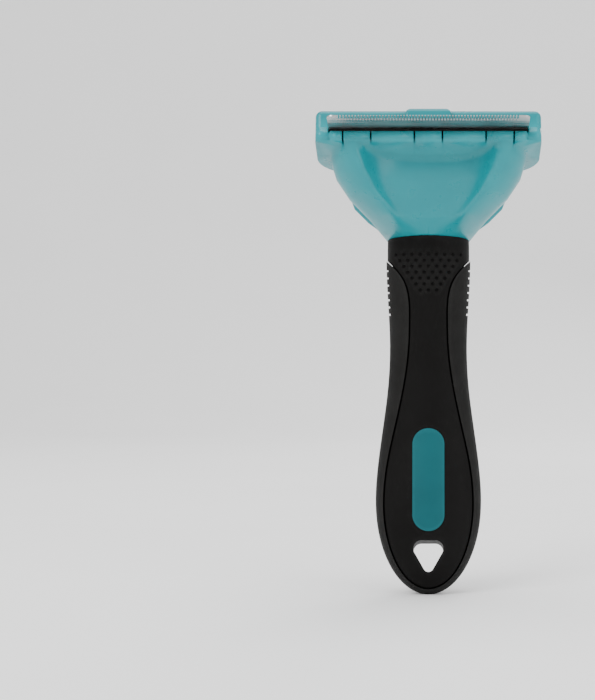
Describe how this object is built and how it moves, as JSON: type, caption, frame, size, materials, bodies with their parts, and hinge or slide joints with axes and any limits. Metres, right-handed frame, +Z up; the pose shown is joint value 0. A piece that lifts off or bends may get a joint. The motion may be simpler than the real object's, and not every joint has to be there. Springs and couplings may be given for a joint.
{
  "type": "deshedding tool",
  "caption": "Hand deshedding tool for pets: fine-toothed steel blade across a tilted teal head, a sliding hair-ejector button, and a two-shell handle with a soft side band and a hang hole.",
  "frame": {"origin": "centre of the hang hole in the tail of the handle", "axes": "+Z up the handle to the head, teeth towards -Y, thumb side +Y, X across the head"},
  "size_m": [0.0766, 0.0595, 0.1668],
  "materials": {
    "teal_plastic": "semi-gloss moulded",
    "teal_inlay": "satin moulded",
    "steel": "ground",
    "black_plastic": "fine matte",
    "soft_black": "soft-touch matte"
  },
  "bodies": {
    "tool": {"comb_blade": "steel", "cover_screws": "steel", "front_cover": "teal_plastic", "grip_inlay": "teal_inlay", "guide_rods": "steel", "handle_screws": "steel", "handle_shell_thumb": "black_plastic", "handle_shell_under": "black_plastic", "head_body": "teal_plastic", "return_spring_left": "steel", "return_spring_right": "steel", "side_grip": "soft_black"},
    "ejector": {"ejector_button": "black_plastic", "button_carriage": "black_plastic", "pusher_plate": "black_plastic", "button_screws": "steel"}
  },
  "joints": [
    {"name": "ejector_slide", "type": "slide", "parent": "tool", "child": "ejector", "axis": [0, -0.9659, 0.2588], "range_m": [0, 0.009], "stiffness_N_per_m": 350, "springref_m": -0.004, "deforming": ["return_spring_left", "return_spring_right"]}
  ]
}
